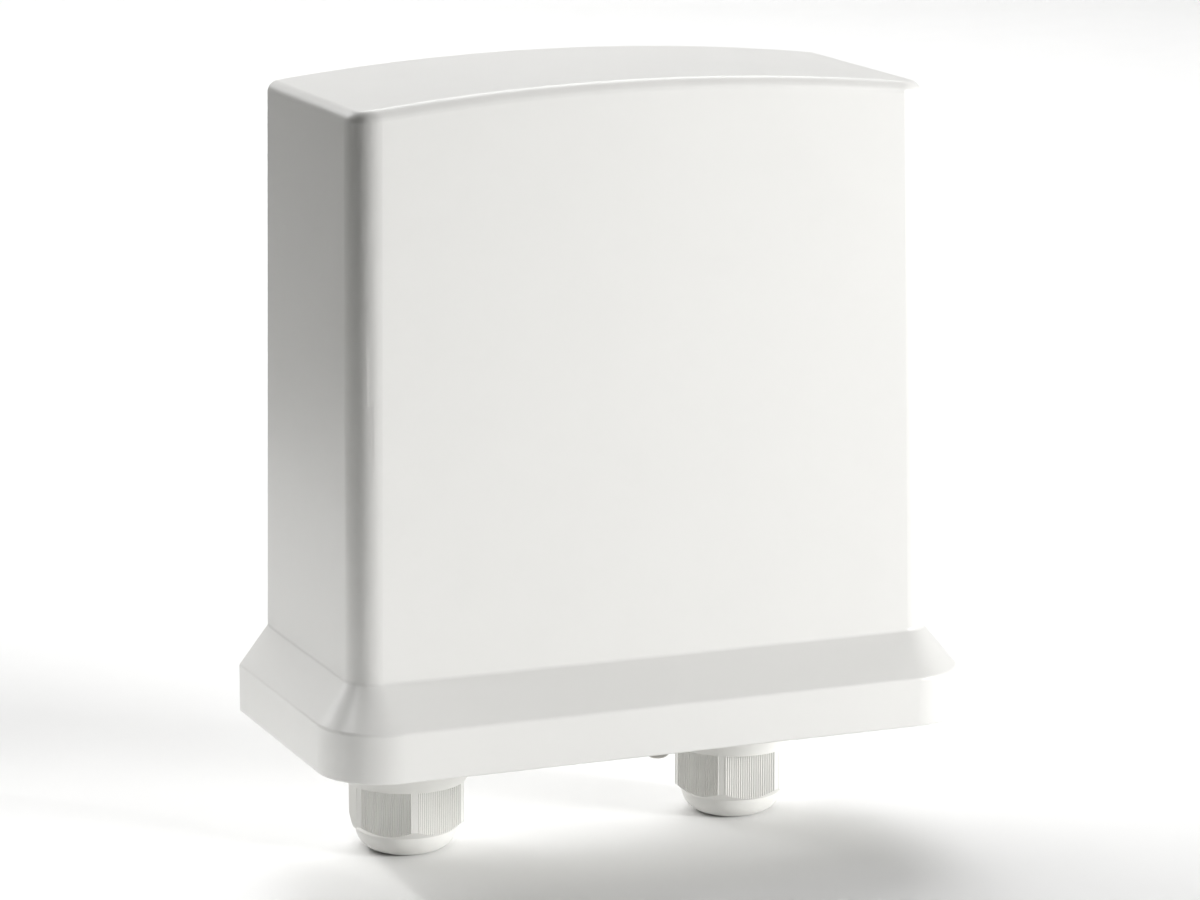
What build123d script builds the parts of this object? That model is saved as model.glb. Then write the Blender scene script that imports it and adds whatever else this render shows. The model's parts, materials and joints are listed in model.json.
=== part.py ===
"""Outdoor wall-mounted mains adapter box: hood-shaped cover over a rear housing with two cable glands.

The frame has X to the right as seen from the front, -Y towards the front and Z up. Y = 0 is the wall
plane, and the origin is the centre of the four wall screw holes. Heights named *_level are counted
from the lower rim of the cover.
"""

from build123d import *
import os

os.makedirs("parts", exist_ok=True)

# Cover, outside
body_width = 150.0
body_depth = 65.0
band_level = 12.0
shoulder_level = 21.5
eave_level = 155.6
crown_level = 160.2
flare_side = 7.5
flare_front = 10.4
draft = 0.0151
corner_radius = 7.0
band_corner_radius = 16.0
top_edge_radius = 2.9
fold_radius = 1.2
fold_search = 0.05
rim_edge_radius = 0.6
wall = 3.0
cover_standoff = 2.5
back_edge_margin = 1.0
cut_overrun = 1.0
form_overrun = 10.0

# Wall mounting
mount_level = 85.0
wall_hole_radius = 2.75
wall_hole_spacing_x = 126.0
wall_hole_spacing_z = 110.0

# Rear housing and its seal
fit_gap = 0.3
back_thickness = 5.5
floor_level = 1.0
floor_thickness = 4.0
gasket_width = 3.0
gasket_thickness = 2.5
gasket_margin = 0.4
seal_rib_depth = 3.6
seal_rib_thickness = 2.0
seal_bottom_level = 26.0
peg_radius = 2.5
peg_length = 12.0
peg_x = 62.0
peg_level = 118.0
peg_clearance = 0.1
lug_height = 10.0
lug_width = 20.0
lug_thickness = 5.0
lug_front_gap = 0.5

# Cover screw
screw_y = -71.5
screw_radius = 1.5
screw_hole_clearance = 0.1
screw_head_radius = 2.9
screw_head_height = 2.4
screw_head_rounding = 1.6
screw_recess_length = 3.2
screw_recess_width = 0.8
screw_recess_depth = 1.3
screw_seal_thickness = 0.8
screw_seal_radius = 3.0
screw_length = 10.5
insert_radius = 2.2
insert_length = 6.0
boss_radius = 3.9
boss_gap = 0.2
boss_top_level = 16.0
notch_width = 3.8

# Cable glands, M20
gland_x = 44.0
gland_y = -15.6
gland_thread_radius = 9.85
gland_hole_clearance = 0.15
gland_bore_radius = 7.0
platform_radius = 14.8
platform_level = -5.0
washer_radius = 13.2
washer_thickness = 1.5
locknut_flats = 24.0
locknut_turn = 0.0
locknut_thickness = 4.8
locknut_gap = 0.2
locknut_access_height = 7.0
flange_flats = 24.0
flange_thickness = 6.0
neck_radius = 10.6
neck_length = 9.0
finger_radius = 9.4
finger_length = 6.0
finger_count = 12
finger_slot = 1.0
seal_clearance = 0.08
seal_bore_radius = 5.0
seal_length = 15.0
seal_lip = 0.6
nut_gap = 1.6
nut_rim_radius = 15.1
nut_rim_height = 3.3
nut_flats = 26.4
nut_corner_radius = 14.85
nut_grip_height = 12.25
nut_chamfer_height = 2.1
nut_dome_height = 5.55
nut_dome_radius = 12.7
nut_dome_mid_radius = 11.3
nut_dome_mid_depth = 3.55
nut_mouth_length = 2.0
nut_hole_radius = 6.3
nut_face_radius = 6.9
nut_thread_clearance = 0.2
nut_angle = {"left": 11.1, "right": 32.8}

# Chassis plate
pillar_height = 4.0
pillar_radius = 4.0
chassis_thickness = 1.5
chassis_width = 100.0
chassis_bottom_level = 8.0
chassis_height = 140.0
chassis_corner_radius = 3.0
chassis_screw_inset = 5.0
chassis_screw_radius = 1.45
chassis_screw_head_radius = 2.8
chassis_screw_head_height = 1.8

# Toroidal transformer
toroid_level = 101.0
toroid_radius = 42.0
toroid_hole_radius = 13.0
toroid_thickness = 33.0
toroid_edge_radius = 9.0
winding_build = 7.0
winding_side_build = 5.5
pad_inset = 4.0
pad_thickness = 2.0
clamp_inset = 10.0
clamp_thickness = 1.5
clamp_edge_chamfer = 0.9
bolt_radius = 3.0
bolt_head_flats = 10.0
bolt_head_height = 3.4
bolt_gap = 0.15
bolt_nut_height = 4.5
bolt_protrusion = 2.0
thread_fit = 0.05

# Terminal board
board_width = 96.0
board_height = 38.0
board_bottom_level = 16.0
board_thickness = 1.6
board_corner_radius = 2.0
standoff_height = 7.5
standoff_flats = 5.0
standoff_web = 1.5
board_screw_inset = 4.5
board_screw_radius = 1.4
board_screw_length = 6.6
board_screw_head_radius = 2.6
board_screw_head_height = 1.8
terminal_pitch = 8.0
terminal_ways = 3
terminal_height = 14.0
terminal_depth = 15.0
terminal_x = 27.0
terminal_foot_level = 18.0
terminal_screw_radius = 1.9
terminal_well_radius = 2.3
terminal_well_depth = 5.0
terminal_screw_height = 2.5
terminal_screw_rise = 2.0
terminal_end_wall = 1.5
terminal_chamfer = 3.0
terminal_slot_length = 3.4
terminal_slot_width = 0.7
terminal_slot_depth = 0.8
wire_port_width = 3.8
wire_port_height = 3.4
wire_port_depth = 7.7
wire_port_shift = 1.0

# Fuse
fuse_x = 0.0
fuse_level = 38.0
fuse_radius = 2.4
fuse_length = 20.0
fuse_cap_radius = 2.6
fuse_cap_length = 5.0
fuse_axis_height = 6.5
clip_width = 4.0
clip_wall = 0.5
clip_clearance = 0.05
clip_height = 8.0
fuse_cover_wall = 1.2
fuse_cover_gap = 0.6
fuse_cover_height = 11.5
fuse_cover_corner_radius = 1.5

# Varistor, leads and earth stud
varistor_x = 17.4
varistor_level = 45.0
varistor_radius = 4.5
varistor_thickness = 4.0
varistor_edge_radius = 1.2
lead_radius = 1.1
lead_bend_radius = 5.0
lead_start_depth = 14.0
lead_embed = 1.5
lead_board_inset = 6.0
lead_spacing = 4.0
lead_x = 26.0
earth_x = -42.0
earth_level = 64.0
earth_radius = 2.0
earth_head_radius = 3.6
earth_head_height = 1.6
earth_length = 12.0
earth_nut_flats = 7.0
earth_nut_height = 3.2

# Derived places
rim_z = -mount_level
half_width = body_width / 2
eave_half_width = half_width - draft * (eave_level - shoulder_level)
arch_rise = crown_level - eave_level
arch_radius = (eave_half_width**2 + arch_rise**2) / (2 * arch_rise)
floor_top_level = floor_level + floor_thickness
platform_z = rim_z + platform_level
flange_top_z = platform_z - washer_thickness
flange_bottom_z = flange_top_z - flange_thickness
nut_top_z = flange_bottom_z - nut_gap
nut_bottom_z = nut_top_z - nut_rim_height - nut_grip_height - nut_dome_height
neck_end_z = flange_bottom_z - neck_length
finger_end_z = neck_end_z - finger_length
locknut_seat_z = rim_z + floor_top_level - locknut_thickness - locknut_gap
back_face_y = -back_thickness
gasket_face_y = back_face_y - gasket_thickness
chassis_y = back_face_y - pillar_height
chassis_face_y = chassis_y - chassis_thickness
core_radius = toroid_radius - winding_build
core_hole_radius = toroid_hole_radius + winding_build
core_thickness = toroid_thickness - 2 * winding_side_build
pad_radius = toroid_radius - pad_inset
clamp_radius = toroid_radius - clamp_inset
board_y = chassis_face_y - standoff_height
board_face_y = board_y - board_thickness
toroid_back_y = chassis_face_y - pad_thickness
toroid_front_y = toroid_back_y - toroid_thickness
clamp_y = toroid_front_y - pad_thickness
top_level = crown_level + form_overrun
reach = 400.0


def hood_form(inset, overrun):
    """Solid inside of the hood's outline, inset from it, and run past the rim and the wall plane."""
    levels = (
        (-overrun, flare_side, flare_front, band_corner_radius, 0.0),
        (band_level, flare_side, flare_front, band_corner_radius, 0.0),
        (shoulder_level, 0.0, 0.0, corner_radius, 0.0),
        (top_level, 0.0, 0.0, corner_radius, draft * (top_level - shoulder_level)),
    )
    with BuildPart() as form:
        for level, out_side, out_front, radius, lean in levels:
            half = half_width + out_side - lean - inset
            front = cover_standoff + body_depth + out_front - lean - inset
            with BuildSketch(Plane.XY.offset(rim_z + level)) as plan:
                with Locations((0, (overrun - front) / 2)):
                    Rectangle(2 * half, front + overrun)
                fillet(plan.vertices().group_by(Axis.Y)[0], radius - inset)
        loft(ruled=True)
        with BuildSketch(Plane.XZ):
            with Locations((0, rim_z + crown_level - arch_radius)):
                Circle(arch_radius - inset)
        extrude(amount=reach, both=True, mode=Mode.INTERSECT)
    return form.part


def slab(y_front, y_back, z_low, z_high):
    """Wide block between two depths and two heights, for slicing a hood form."""
    with BuildPart() as block:
        with Locations((0, (y_front + y_back) / 2, (z_low + z_high) / 2)):
            Box(reach, y_back - y_front, z_high - z_low)
    return block.part


top_z = rim_z + top_level
outer_form = hood_form(0.0, 0.0)
cavity_form = hood_form(wall, cut_overrun)
seated_form = hood_form(wall + fit_gap, 0.0)
gasket_outer_form = hood_form(wall + fit_gap + gasket_margin, 0.0)
gasket_inner_form = hood_form(wall + fit_gap + gasket_margin + gasket_width, cut_overrun)
rib_inner_form = hood_form(wall + seal_rib_depth, cut_overrun)
seal_bottom_z = rim_z + seal_bottom_level
rib_slab = slab(gasket_face_y - seal_rib_thickness, gasket_face_y, seal_bottom_z, top_z)
gasket_slab = slab(gasket_face_y, back_face_y, seal_bottom_z, top_z)
back_slab = slab(back_face_y, 0.0, rim_z + floor_level, top_z)
floor_slab = slab(-reach, 0.0, rim_z + floor_level, rim_z + floor_top_level)

cover_slab = slab(-reach, -cover_standoff, rim_z - cut_overrun, top_z)


def off_the_back(edge):
    """Whether an edge lies in front of the cover's back edge."""
    return edge.center().Y < -cover_standoff - back_edge_margin


# Shell edges are rounded before the cavity is cut
with BuildPart() as shell:
    add(outer_form)
    add(cover_slab, mode=Mode.INTERSECT)
    crown_edges = shell.faces().sort_by(Axis.Z)[-1].edges()
    fillet(crown_edges.filter_by(off_the_back), top_edge_radius)
    rim_edges = shell.edges().group_by(Axis.Z)[0]
    fillet(rim_edges.filter_by(off_the_back), rim_edge_radius)
    for fold_level in (band_level, shoulder_level):
        fold_z = rim_z + fold_level
        fold_edges = shell.edges().filter_by_position(Axis.Z, fold_z - fold_search, fold_z + fold_search)
        fillet(fold_edges.filter_by(off_the_back), fold_radius)
    add(cavity_form, mode=Mode.SUBTRACT)

with BuildPart() as seal_rib:
    add(cavity_form)
    add(rib_inner_form, mode=Mode.SUBTRACT)
    add(rib_slab, mode=Mode.INTERSECT)

lug_back_y = back_face_y - gasket_thickness - seal_rib_thickness - lug_front_gap
with BuildPart() as lugs:
    with BuildSketch(Plane.XZ.offset(-lug_back_y)):
        with Locations((peg_x, rim_z + peg_level), (-peg_x, rim_z + peg_level)):
            Rectangle(lug_width, lug_height)
    extrude(amount=lug_thickness)
    with BuildSketch(Plane.XZ.offset(-lug_back_y)):
        with Locations((peg_x, rim_z + peg_level), (-peg_x, rim_z + peg_level)):
            Circle(peg_radius + peg_clearance)
    extrude(amount=lug_thickness, mode=Mode.SUBTRACT)
    add(outer_form, mode=Mode.INTERSECT)

boss_bottom_level = floor_top_level + boss_gap
with BuildPart() as screw_boss:
    with BuildSketch(Plane.XY.offset(rim_z + boss_bottom_level)):
        with Locations((0, screw_y)):
            Circle(boss_radius)
    extrude(amount=boss_top_level - boss_bottom_level + boss_radius)
    add(outer_form, mode=Mode.INTERSECT)

with BuildPart() as cover:
    add(shell.part)
    add(seal_rib.part)
    add(lugs.part)
    add(screw_boss.part)
    with BuildSketch(Plane.XY.offset(rim_z + boss_bottom_level)):
        with Locations((0, screw_y)):
            Circle(insert_radius)
    extrude(amount=insert_length, mode=Mode.SUBTRACT)
cover.part.label = "cover"
export_step(cover.part, "parts/cover.step")

pillar_spots = [
    (side * (chassis_width / 2 - chassis_screw_inset), rim_z + level)
    for side in (-1, 1)
    for level in (
        chassis_bottom_level + chassis_screw_inset,
        chassis_bottom_level + chassis_height - chassis_screw_inset,
    )
]
gland_spots = [(-gland_x, gland_y), (gland_x, gland_y)]

with BuildPart() as rear_housing:
    add(back_slab)
    add(floor_slab)
    add(seated_form, mode=Mode.INTERSECT)
    with BuildSketch(Plane.XY.offset(platform_z)):
        with Locations(*gland_spots):
            Circle(platform_radius)
    extrude(amount=floor_level - platform_level)
    with BuildSketch(Plane.XY.offset(platform_z)):
        with Locations(*gland_spots):
            Circle(gland_thread_radius + gland_hole_clearance)
    extrude(amount=floor_top_level - platform_level, mode=Mode.SUBTRACT)
    with BuildSketch(Plane.XY.offset(locknut_seat_z)):
        with Locations(*gland_spots):
            RegularPolygon(locknut_flats / 2 + fit_gap / 2, 6, major_radius=False, rotation=locknut_turn)
    extrude(amount=locknut_thickness + locknut_gap + locknut_access_height, mode=Mode.SUBTRACT)
    with BuildSketch(Plane.XZ.offset(back_thickness)):
        with Locations(*pillar_spots):
            Circle(pillar_radius)
    extrude(amount=pillar_height)
    with BuildSketch(Plane.XZ.offset(back_thickness)):
        with Locations((peg_x, rim_z + peg_level), (-peg_x, rim_z + peg_level)):
            Circle(peg_radius)
    extrude(amount=peg_length)
    with BuildSketch(Plane.XZ.offset(back_thickness + pillar_height)):
        with Locations(*pillar_spots):
            Circle(chassis_screw_radius)
    extrude(amount=-pillar_height, mode=Mode.SUBTRACT)
    with BuildSketch(Plane.XZ):
        with GridLocations(wall_hole_spacing_x, wall_hole_spacing_z, 2, 2):
            Circle(wall_hole_radius)
    extrude(amount=back_thickness, mode=Mode.SUBTRACT)
    with BuildSketch(Plane.XY.offset(rim_z + floor_level)):
        with Locations((0, screw_y - reach / 2)):
            Rectangle(notch_width, reach)
        with Locations((0, screw_y)):
            Circle(notch_width / 2)
    extrude(amount=floor_thickness, mode=Mode.SUBTRACT)
rear_housing.part.label = "rear_housing"
export_step(rear_housing.part, "parts/rear_housing.step")

with BuildPart() as cover_gasket:
    add(gasket_outer_form)
    add(gasket_inner_form, mode=Mode.SUBTRACT)
    add(gasket_slab, mode=Mode.INTERSECT)
cover_gasket.part.label = "cover_gasket"
export_step(cover_gasket.part, "parts/cover_gasket.step")

screw_seat_z = rim_z + floor_level - screw_seal_thickness
with BuildPart() as cover_screw:
    with BuildSketch(Plane.XY.offset(screw_seat_z - screw_head_height)):
        with Locations((0, screw_y)):
            Circle(screw_head_radius)
    extrude(amount=screw_head_height)
    fillet(cover_screw.edges().group_by(Axis.Z)[0], screw_head_rounding)
    with BuildSketch(Plane.XY.offset(screw_seat_z)):
        with Locations((0, screw_y)):
            Circle(screw_radius)
    extrude(amount=screw_length)
    with BuildSketch(Plane.XY.offset(screw_seat_z - screw_head_height)):
        with Locations((0, screw_y)):
            Rectangle(screw_recess_length, screw_recess_width)
            Rectangle(screw_recess_width, screw_recess_length)
    extrude(amount=screw_recess_depth, mode=Mode.SUBTRACT)
cover_screw.part.label = "cover_screw"
export_step(cover_screw.part, "parts/cover_screw.step")

with BuildPart() as cover_screw_seal:
    with BuildSketch(Plane.XY.offset(screw_seat_z)):
        with Locations((0, screw_y)):
            Circle(screw_seal_radius)
            Circle(screw_radius + screw_hole_clearance, mode=Mode.SUBTRACT)
    extrude(amount=screw_seal_thickness)
cover_screw_seal.part.label = "cover_screw_seal"
export_step(cover_screw_seal.part, "parts/cover_screw_seal.step")

with BuildPart() as cover_insert:
    with BuildSketch(Plane.XY.offset(rim_z + boss_bottom_level)):
        with Locations((0, screw_y)):
            Circle(insert_radius)
            Circle(screw_radius + screw_hole_clearance, mode=Mode.SUBTRACT)
    extrude(amount=insert_length)
cover_insert.part.label = "cover_insert"
export_step(cover_insert.part, "parts/cover_insert.step")


def ring(radius, bore, z_low, height):
    """Plain ring about the Z axis."""
    with BuildPart() as part:
        with BuildSketch(Plane.XY.offset(z_low)):
            Circle(radius)
            Circle(bore, mode=Mode.SUBTRACT)
        extrude(amount=height)
    return part.part


seal_radius = gland_bore_radius
for side, x in (("left", -gland_x), ("right", gland_x)):
    thread_top_z = rim_z + floor_top_level
    with BuildPart() as gland_body:
        with BuildSketch(Plane.XY.offset(flange_bottom_z)):
            RegularPolygon(flange_flats / 2, 6, major_radius=False)
        extrude(amount=flange_thickness)
        add(ring(gland_thread_radius, gland_bore_radius, flange_top_z, thread_top_z - flange_top_z))
        add(ring(neck_radius, gland_bore_radius, neck_end_z, neck_length))
        add(ring(finger_radius, gland_bore_radius, finger_end_z, finger_length))
        with BuildSketch(Plane.XY.offset(finger_end_z)):
            with PolarLocations(0, finger_count // 2):
                Rectangle(2 * neck_radius, finger_slot)
        extrude(amount=finger_length, mode=Mode.SUBTRACT)
        with BuildSketch(Plane.XY.offset(finger_end_z)):
            Circle(gland_bore_radius)
        extrude(amount=thread_top_z - finger_end_z, mode=Mode.SUBTRACT)
    gland_body.part.position = (x, gland_y, 0)
    gland_body.part.label = f"gland_body_{side}"
    export_step(gland_body.part, f"parts/gland_body_{side}.step")

    washer = ring(washer_radius, gland_thread_radius + seal_clearance, flange_top_z, washer_thickness)
    washer.position = (x, gland_y, 0)
    washer.label = f"gland_washer_{side}"
    export_step(washer, f"parts/gland_washer_{side}.step")

    with BuildPart() as locknut:
        with BuildSketch(Plane.XY.offset(locknut_seat_z)):
            RegularPolygon(locknut_flats / 2, 6, major_radius=False, rotation=locknut_turn)
            Circle(gland_thread_radius + seal_clearance, mode=Mode.SUBTRACT)
        extrude(amount=locknut_thickness)
    locknut.part.position = (x, gland_y, 0)
    locknut.part.label = f"gland_locknut_{side}"
    export_step(locknut.part, f"parts/gland_locknut_{side}.step")

    with BuildPart() as seal:
        add(ring(seal_radius - seal_clearance, seal_bore_radius, finger_end_z - seal_lip, seal_length))
    seal.part.position = (x, gland_y, 0)
    seal.part.label = f"gland_seal_{side}"
    export_step(seal.part, f"parts/gland_seal_{side}.step")

    grip_top_z = nut_top_z - nut_rim_height
    grip_bottom_z = grip_top_z - nut_grip_height
    with BuildPart() as nut:
        with BuildSketch(Plane.XY.offset(grip_bottom_z)):
            RegularPolygon(nut_flats / 2, 6, major_radius=False, rotation=-90 - nut_angle[side])
            Circle(nut_corner_radius, mode=Mode.INTERSECT)
        extrude(amount=nut_grip_height)
        with BuildSketch(Plane.XZ):
            with BuildLine():
                Polyline(
                    (0, grip_bottom_z),
                    (nut_dome_radius, grip_bottom_z),
                    (nut_corner_radius, grip_bottom_z + nut_chamfer_height),
                    (nut_corner_radius, grip_top_z),
                    (0, grip_top_z),
                    close=True,
                )
            make_face()
        revolve(axis=Axis.Z, mode=Mode.INTERSECT)
        add(ring(nut_rim_radius, neck_radius + nut_thread_clearance, grip_top_z, nut_rim_height))
        with BuildSketch(Plane.XZ):
            with BuildLine():
                Line((0, grip_bottom_z), (nut_dome_radius, grip_bottom_z))
                ThreePointArc(
                    (nut_dome_radius, grip_bottom_z),
                    (nut_dome_mid_radius, grip_bottom_z - nut_dome_mid_depth),
                    (nut_face_radius, nut_bottom_z),
                )
                Polyline((nut_face_radius, nut_bottom_z), (0, nut_bottom_z), (0, grip_bottom_z))
            make_face()
        revolve(axis=Axis.Z)
        with BuildSketch(Plane.XZ):
            with BuildLine():
                Polyline(
                    (0, nut_top_z),
                    (neck_radius + nut_thread_clearance, nut_top_z),
                    (neck_radius + nut_thread_clearance, grip_bottom_z),
                    (nut_hole_radius, nut_bottom_z + nut_mouth_length),
                    (nut_hole_radius, nut_bottom_z),
                    (0, nut_bottom_z),
                    close=True,
                )
            make_face()
        revolve(axis=Axis.Z, mode=Mode.SUBTRACT)
    nut.part.position = (x, gland_y, 0)
    nut.part.label = f"gland_nut_{side}"
    export_step(nut.part, f"parts/gland_nut_{side}.step")

# Chassis plate on the housing's pillars
chassis_mid_z = rim_z + chassis_bottom_level + chassis_height / 2
toroid_z = rim_z + toroid_level
with BuildPart() as chassis_plate:
    with BuildSketch(Plane.XZ.offset(-chassis_y)):
        with Locations((0, chassis_mid_z)):
            RectangleRounded(chassis_width, chassis_height, chassis_corner_radius)
        with Locations(*pillar_spots):
            Circle(chassis_screw_radius + screw_hole_clearance, mode=Mode.SUBTRACT)
        with Locations((0, toroid_z)):
            Circle(bolt_radius + bolt_gap, mode=Mode.SUBTRACT)
        with Locations((earth_x, rim_z + earth_level)):
            Circle(earth_radius + screw_hole_clearance, mode=Mode.SUBTRACT)
    extrude(amount=chassis_thickness)
chassis_plate.part.label = "chassis_plate"
export_step(chassis_plate.part, "parts/chassis_plate.step")


def screws_y(spots, seat_y, radius, length, head_radius, head_height):
    """Pan-head screws along Y, with the heads in front of the seat."""
    with BuildPart() as part:
        with BuildSketch(Plane.XZ.offset(-seat_y)):
            with Locations(*spots):
                Circle(radius)
        extrude(amount=-length)
        with BuildSketch(Plane.XZ.offset(-seat_y)):
            with Locations(*spots):
                Circle(head_radius)
        extrude(amount=head_height)
    return part.part


chassis_screws = screws_y(
    pillar_spots,
    chassis_face_y,
    chassis_screw_radius,
    chassis_thickness + pillar_height,
    chassis_screw_head_radius,
    chassis_screw_head_height,
)
chassis_screws.label = "chassis_screws"
export_step(chassis_screws, "parts/chassis_screws.step")


def ring_y(radius, bore, y_back, thickness, edge_radius):
    """Ring about the transformer's axis, with rounded edges where a radius is given."""
    with BuildPart() as part:
        with BuildSketch(Plane.XZ.offset(-y_back)):
            with Locations((0, toroid_z)):
                Circle(radius)
                Circle(bore, mode=Mode.SUBTRACT)
        extrude(amount=thickness)
        if edge_radius > 0:
            fillet(part.edges().filter_by(GeomType.CIRCLE), edge_radius)
    return part.part


core_back_y = toroid_back_y - (toroid_thickness - core_thickness) / 2
transformer_core = ring_y(core_radius, core_hole_radius, core_back_y, core_thickness, 0.0)
transformer_core.label = "transformer_core"
export_step(transformer_core, "parts/transformer_core.step")

winding_blank = ring_y(
    toroid_radius, toroid_hole_radius, toroid_back_y, toroid_thickness, toroid_edge_radius
)
with BuildPart() as transformer_winding:
    add(winding_blank)
    add(transformer_core, mode=Mode.SUBTRACT)
transformer_winding.part.label = "transformer_winding"
export_step(transformer_winding.part, "parts/transformer_winding.step")

with BuildPart() as transformer_pads:
    add(ring_y(pad_radius, bolt_radius + bolt_gap, chassis_face_y, pad_thickness, 0.0))
    add(ring_y(pad_radius, bolt_radius + bolt_gap, toroid_front_y, pad_thickness, 0.0))
transformer_pads.part.label = "transformer_pads"
export_step(transformer_pads.part, "parts/transformer_pads.step")

with BuildPart() as transformer_clamp:
    add(ring_y(clamp_radius, bolt_radius + bolt_gap, clamp_y, clamp_thickness, 0.0))
    chamfer(transformer_clamp.faces().sort_by(Axis.Y)[0].outer_wire().edges(), clamp_edge_chamfer)
transformer_clamp.part.label = "transformer_clamp"
export_step(transformer_clamp.part, "parts/transformer_clamp.step")

bolt_nut_y = clamp_y - clamp_thickness
bolt_end_y = bolt_nut_y - bolt_nut_height - bolt_protrusion
with BuildPart() as transformer_bolt:
    with BuildSketch(Plane.XZ.offset(-chassis_y)):
        with Locations((0, toroid_z)):
            RegularPolygon(bolt_head_flats / 2, 6, major_radius=False)
    extrude(amount=-bolt_head_height)
    with BuildSketch(Plane.XZ.offset(-chassis_y)):
        with Locations((0, toroid_z)):
            Circle(bolt_radius)
    extrude(amount=chassis_y - bolt_end_y)
transformer_bolt.part.label = "transformer_bolt"
export_step(transformer_bolt.part, "parts/transformer_bolt.step")

with BuildPart() as transformer_nut:
    with BuildSketch(Plane.XZ.offset(-bolt_nut_y)):
        with Locations((0, toroid_z)):
            RegularPolygon(bolt_head_flats / 2, 6, major_radius=False)
            Circle(bolt_radius + thread_fit, mode=Mode.SUBTRACT)
    extrude(amount=bolt_nut_height)
transformer_nut.part.label = "transformer_nut"
export_step(transformer_nut.part, "parts/transformer_nut.step")

# Terminal board on standoffs
board_mid_z = rim_z + board_bottom_level + board_height / 2
board_spot_x = board_width / 2 - board_screw_inset
board_spot_z = board_height / 2 - board_screw_inset
board_spots = [
    (side * board_spot_x, board_mid_z + end * board_spot_z)
    for side in (-1, 1)
    for end in (-1, 1)
]
with BuildPart() as board_standoffs:
    with BuildSketch(Plane.XZ.offset(-chassis_face_y)):
        with Locations(*board_spots):
            RegularPolygon(standoff_flats / 2, 6, major_radius=False)
    extrude(amount=standoff_height)
    with BuildSketch(Plane.XZ.offset(-board_y)):
        with Locations(*board_spots):
            Circle(board_screw_radius + thread_fit)
    extrude(amount=standoff_web - standoff_height, mode=Mode.SUBTRACT)
board_standoffs.part.label = "board_standoffs"
export_step(board_standoffs.part, "parts/board_standoffs.step")

with BuildPart() as terminal_board:
    with BuildSketch(Plane.XZ.offset(-board_y)):
        with Locations((0, board_mid_z)):
            RectangleRounded(board_width, board_height, board_corner_radius)
        with Locations(*board_spots):
            Circle(board_screw_radius + screw_hole_clearance, mode=Mode.SUBTRACT)
    extrude(amount=board_thickness)
terminal_board.part.label = "terminal_board"
export_step(terminal_board.part, "parts/terminal_board.step")

board_screws = screws_y(
    board_spots,
    board_face_y,
    board_screw_radius,
    board_screw_length,
    board_screw_head_radius,
    board_screw_head_height,
)
board_screws.label = "board_screws"
export_step(board_screws, "parts/board_screws.step")

terminal_width = terminal_pitch * terminal_ways + terminal_end_wall
terminal_mid_z = rim_z + terminal_foot_level + terminal_height / 2
terminal_front_y = board_face_y - terminal_depth
screw_foot_y = terminal_front_y + terminal_well_depth
for name, x in (("mains", -terminal_x), ("output", terminal_x)):
    first_x = x - (terminal_ways - 1) / 2 * terminal_pitch
    ways_x = [first_x + way * terminal_pitch for way in range(terminal_ways)]
    spots = [(way_x, terminal_mid_z + terminal_screw_rise) for way_x in ways_x]
    port_spots = [(way_x, board_face_y - terminal_depth / 2 + wire_port_shift) for way_x in ways_x]
    with BuildPart() as terminal_block:
        with BuildSketch(Plane.XZ.offset(-board_face_y)):
            with Locations((x, terminal_mid_z)):
                Rectangle(terminal_width, terminal_height)
        extrude(amount=terminal_depth)
        front_edges = terminal_block.faces().sort_by(Axis.Y)[0].edges().filter_by(Axis.X)
        chamfer(front_edges.sort_by(Axis.Z)[0], terminal_chamfer)
        with BuildSketch(Plane.XZ.offset(-terminal_front_y)):
            with Locations(*spots):
                Circle(terminal_well_radius)
        extrude(amount=-terminal_well_depth, mode=Mode.SUBTRACT)
        with BuildSketch(Plane.XY.offset(rim_z + terminal_foot_level)):
            with Locations(*port_spots):
                Rectangle(wire_port_width, wire_port_height)
        extrude(amount=wire_port_depth, mode=Mode.SUBTRACT)
    terminal_block.part.label = f"{name}_terminal_block"
    export_step(terminal_block.part, f"parts/{name}_terminal_block.step")

    with BuildPart() as terminal_screws:
        with BuildSketch(Plane.XZ.offset(-screw_foot_y)):
            with Locations(*spots):
                Circle(terminal_screw_radius)
        extrude(amount=terminal_screw_height)
        with BuildSketch(Plane.XZ.offset(terminal_screw_height - screw_foot_y)):
            with Locations(*spots):
                Rectangle(terminal_slot_length, terminal_slot_width)
        extrude(amount=-terminal_slot_depth, mode=Mode.SUBTRACT)
    terminal_screws.part.label = f"{name}_terminal_screws"
    export_step(terminal_screws.part, f"parts/{name}_terminal_screws.step")

# Fuse in two spring clips, under a pull-off cover that carries it
fuse_z = rim_z + fuse_level
fuse_y = board_face_y - fuse_axis_height
clip_x = fuse_length / 2 - fuse_cap_length / 2
with BuildPart() as fuse_clips:
    with BuildSketch(Plane.YZ.offset(fuse_x)) as clip_section:
        with Locations((board_face_y - clip_height / 2, fuse_z)):
            Rectangle(clip_height, 2 * (fuse_cap_radius + clip_clearance + clip_wall))
        with Locations((board_face_y - clip_height / 2 - clip_wall, fuse_z)):
            Rectangle(clip_height, 2 * (fuse_cap_radius + clip_clearance), mode=Mode.SUBTRACT)
    extrude(amount=clip_x + clip_width / 2, both=True)
    with Locations((fuse_x, fuse_y, fuse_z)):
        Box(2 * clip_x - clip_width, reach, reach, mode=Mode.SUBTRACT)
fuse_clips.part.label = "fuse_clips"
export_step(fuse_clips.part, "parts/fuse_clips.step")

with BuildPart() as fuse_tube:
    with BuildSketch(Plane.YZ.offset(fuse_x)):
        with Locations((fuse_y, fuse_z)):
            Circle(fuse_radius)
    extrude(amount=fuse_length / 2 - fuse_cap_length, both=True)
fuse_tube.part.label = "fuse_tube"
export_step(fuse_tube.part, "parts/fuse_tube.step")

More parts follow.
